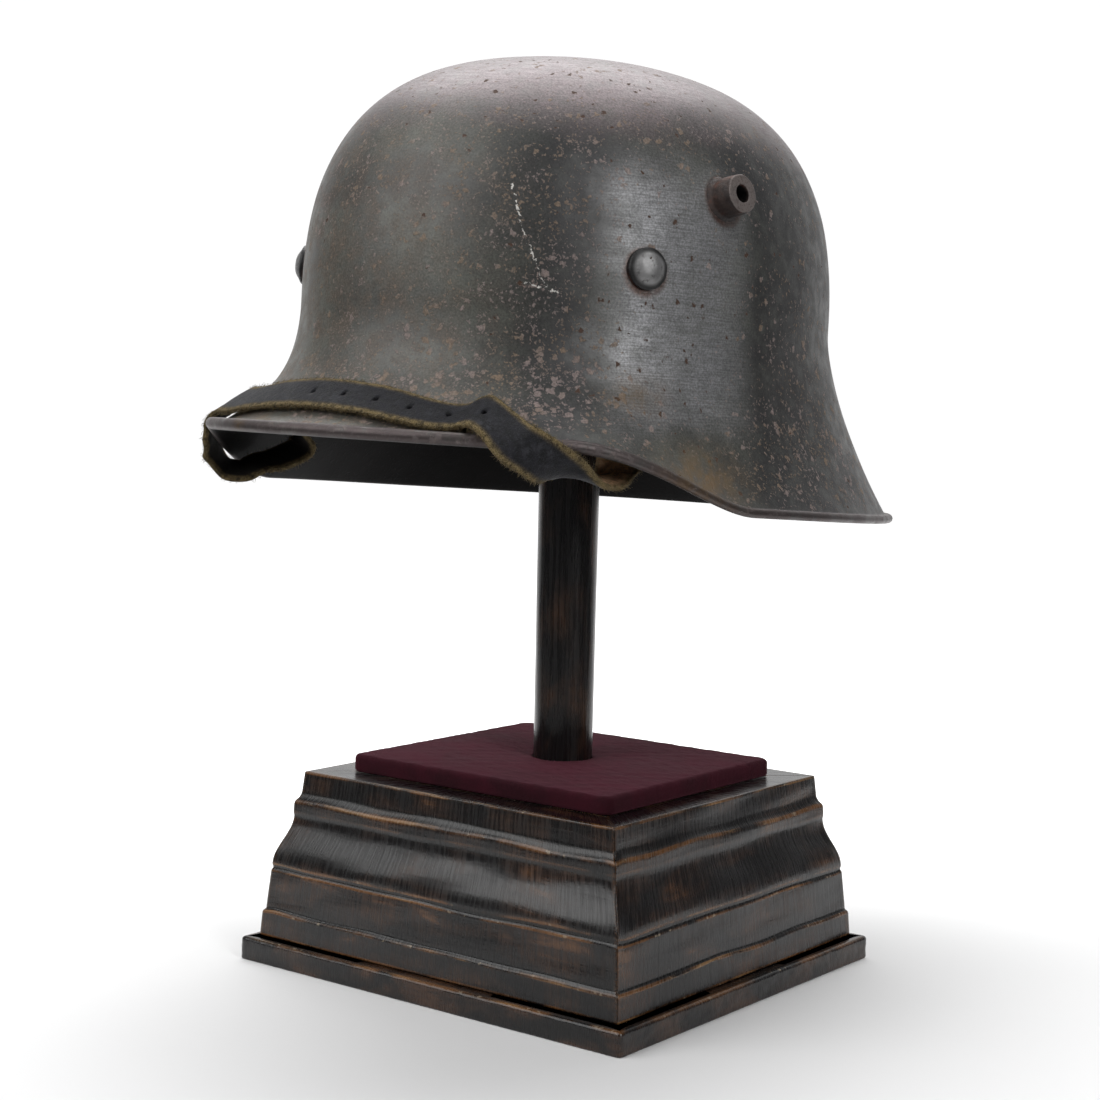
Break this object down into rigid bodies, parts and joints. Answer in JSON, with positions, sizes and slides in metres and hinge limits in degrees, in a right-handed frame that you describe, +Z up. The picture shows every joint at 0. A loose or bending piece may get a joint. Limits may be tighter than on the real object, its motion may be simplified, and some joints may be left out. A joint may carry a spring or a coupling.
{
  "type": "steel helmet on a wooden display stand",
  "caption": "Pressed steel helmet with stepped visor, flared skirt, side vent lugs and a leather chin strap, on a moulded wooden stand with a velvet top.",
  "frame": {"origin": "middle of the stand's underside", "axes": "+Z up; the visor faces -Y, the wearer's left is +X"},
  "size_m": [0.2391, 0.3108, 0.3532],
  "materials": {
    "shell_paint": "worn dark grey-green paint over steel, with rust specks",
    "lug_steel": "rusty worn paint",
    "rivet_steel": "worn to grey steel on the dome",
    "strap_leather": "scuffed black, with fuzzy tan edges and brown suede inside",
    "post_wood": "near-black stained, satin",
    "velvet": "burgundy velvet",
    "moulding_wood": "dark stained, worn golden along its edges, satin",
    "plinth_wood": "near-black, satin"
  },
  "bodies": {
    "root": {"shell": "shell_paint", "vent_lug_left": "lug_steel", "vent_lug_right": "lug_steel", "liner_rivet_left": "rivet_steel", "liner_rivet_right": "rivet_steel", "liner_rivet_rear": "rivet_steel", "chin_strap": "strap_leather", "post": "post_wood", "post_head": "post_wood", "velvet_pad": "velvet", "deck": "moulding_wood", "moulding_front": "moulding_wood", "moulding_left": "moulding_wood", "moulding_rear": "moulding_wood", "moulding_right": "moulding_wood", "plinth_board": "plinth_wood"}
  },
  "joints": []
}
